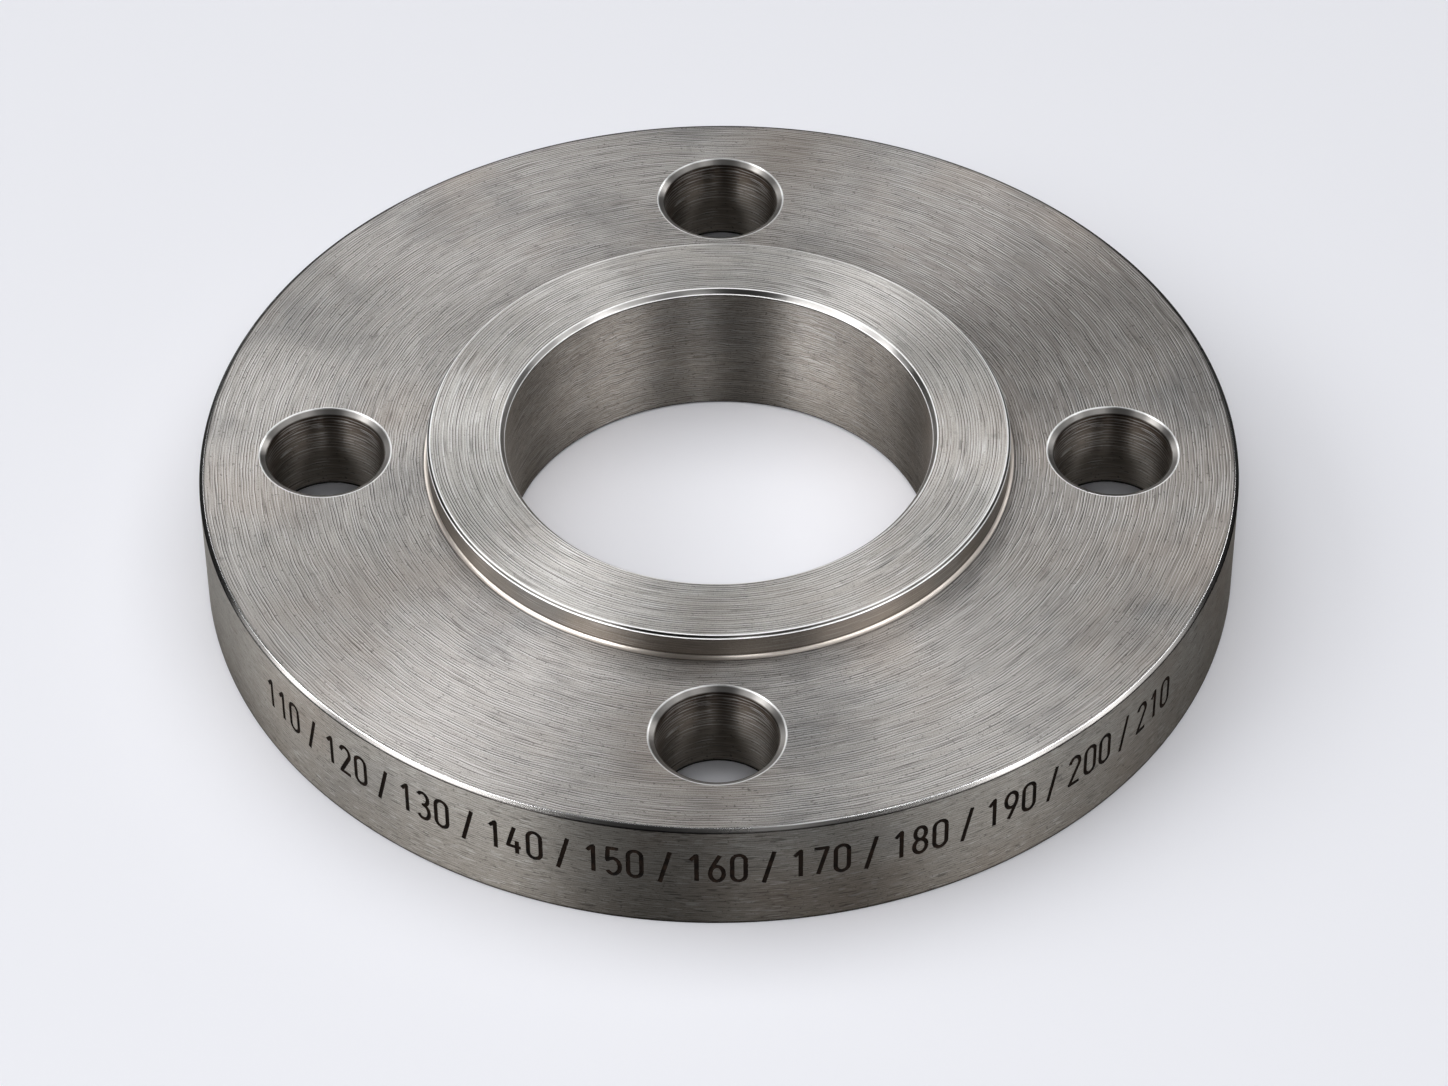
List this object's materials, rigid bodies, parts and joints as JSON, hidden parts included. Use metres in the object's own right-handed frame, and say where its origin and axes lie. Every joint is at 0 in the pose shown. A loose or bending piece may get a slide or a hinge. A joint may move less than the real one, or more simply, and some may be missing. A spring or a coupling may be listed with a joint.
{
  "type": "plate flange",
  "caption": "Flat steel plate flange with a low raised face, a plain chamfered bore and bolt holes on a circle, for joining pipe.",
  "frame": {"origin": "centre of the bore at the flat back face, which lies on the ground", "axes": "+Z along the bore, from the back towards the raised face; one bolt hole lies on +X and the next on +Y"},
  "size_m": [0.22, 0.22, 0.0328],
  "materials": {
    "steel": "turned"
  },
  "bodies": {
    "root": {"flange": "steel"}
  },
  "joints": []
}
